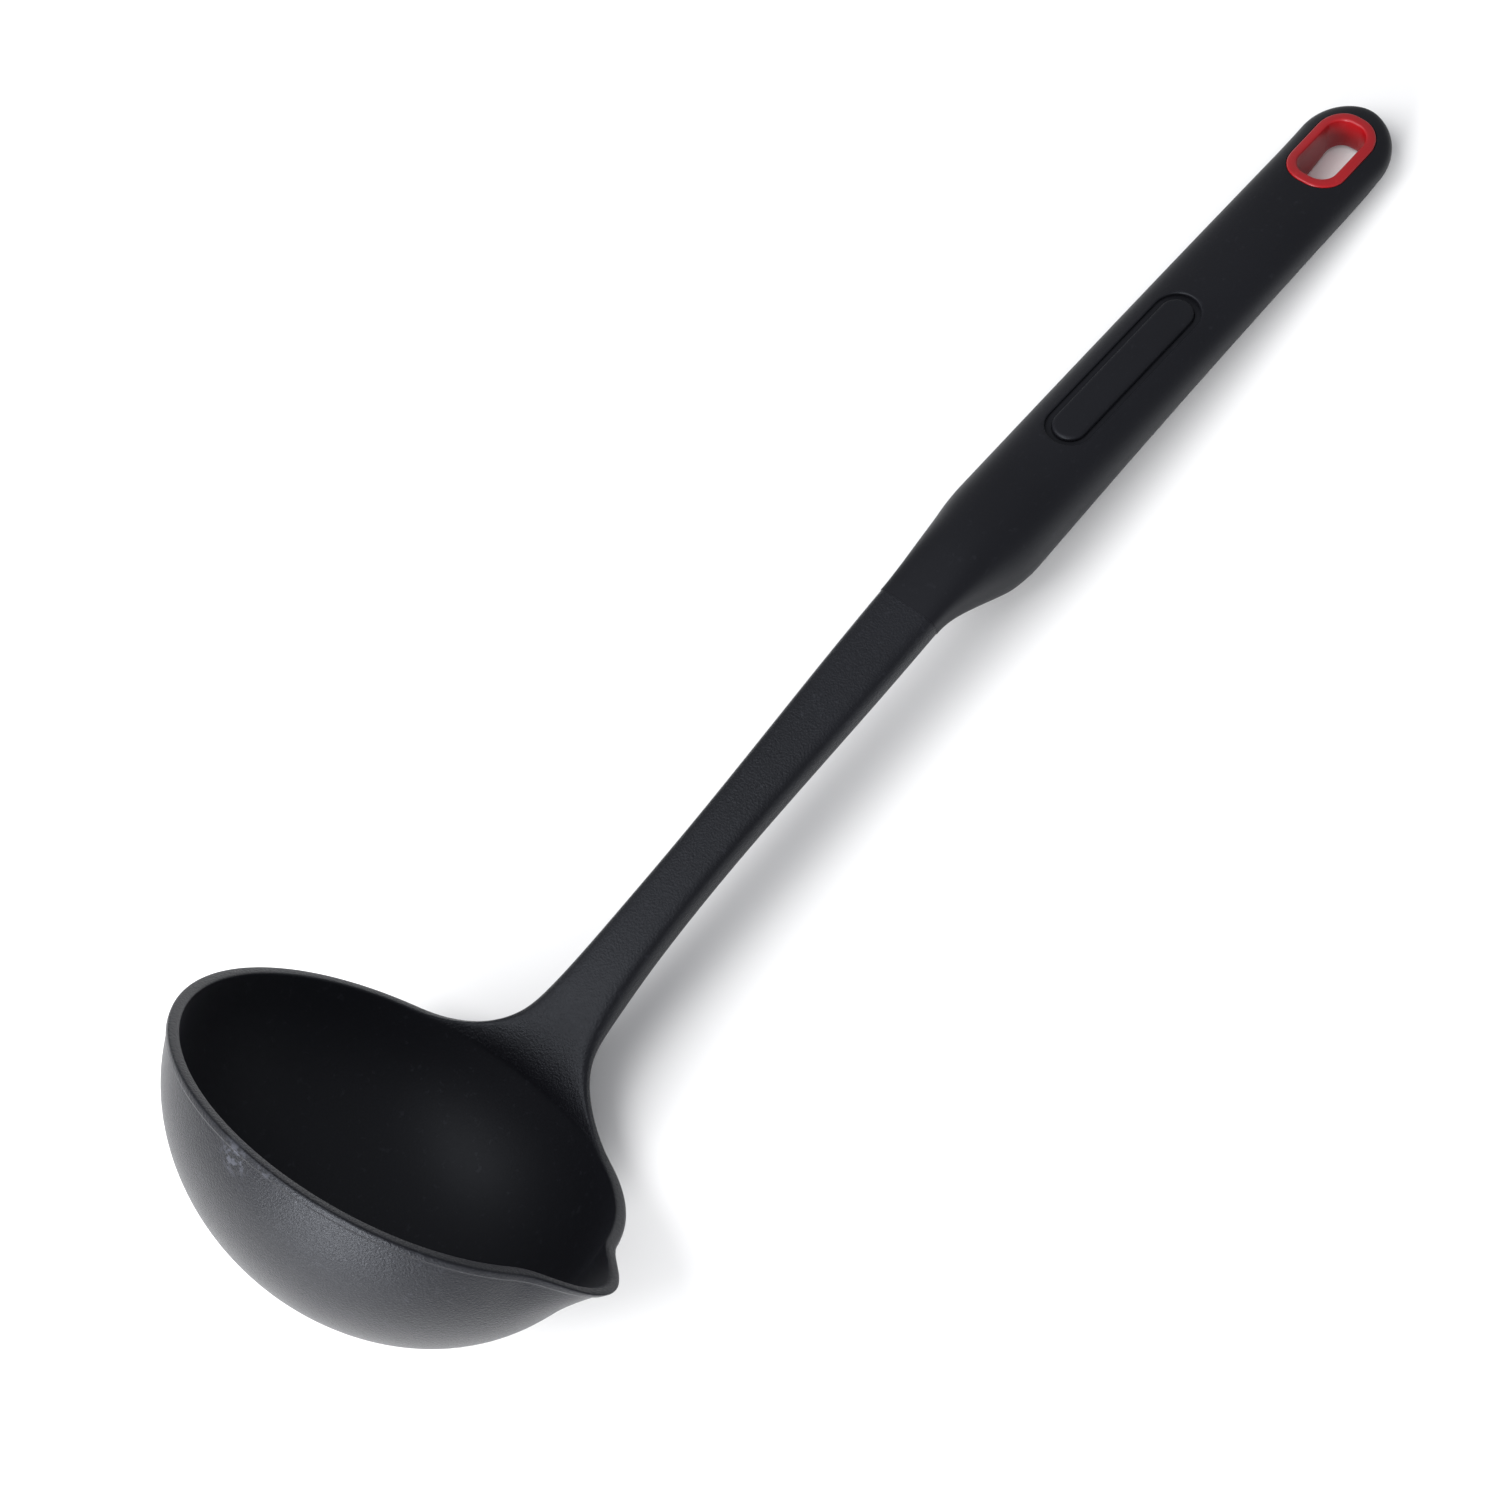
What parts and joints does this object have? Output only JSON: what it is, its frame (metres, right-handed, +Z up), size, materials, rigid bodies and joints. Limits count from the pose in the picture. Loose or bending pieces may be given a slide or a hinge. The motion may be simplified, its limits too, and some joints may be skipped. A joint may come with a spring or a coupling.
{
  "type": "soup ladle",
  "caption": "Deep kitchen ladle with a side pouring lip, a slim cranked shank, a swelling grip and a coloured lined hang hole.",
  "frame": {"origin": "centre of the bounding box in plan, on the table that the ladle lies on", "axes": "+X along the handle from the bowl to the hang hole, +Z up from the table, the pouring lip towards -Y"},
  "size_m": [0.3346, 0.1, 0.0814],
  "materials": {
    "nylon": "moulded black nylon: fine eroded grain outside, smoother inside the bowl",
    "grip": "satin black moulding with a soft sheen",
    "liner": "semi-gloss red moulding",
    "badge": "blank satin black pad"
  },
  "bodies": {
    "root": {"ladle_head": "nylon", "handle_grip": "grip", "hang_hole_liner": "liner", "badge_inlay": "badge"}
  },
  "joints": []
}
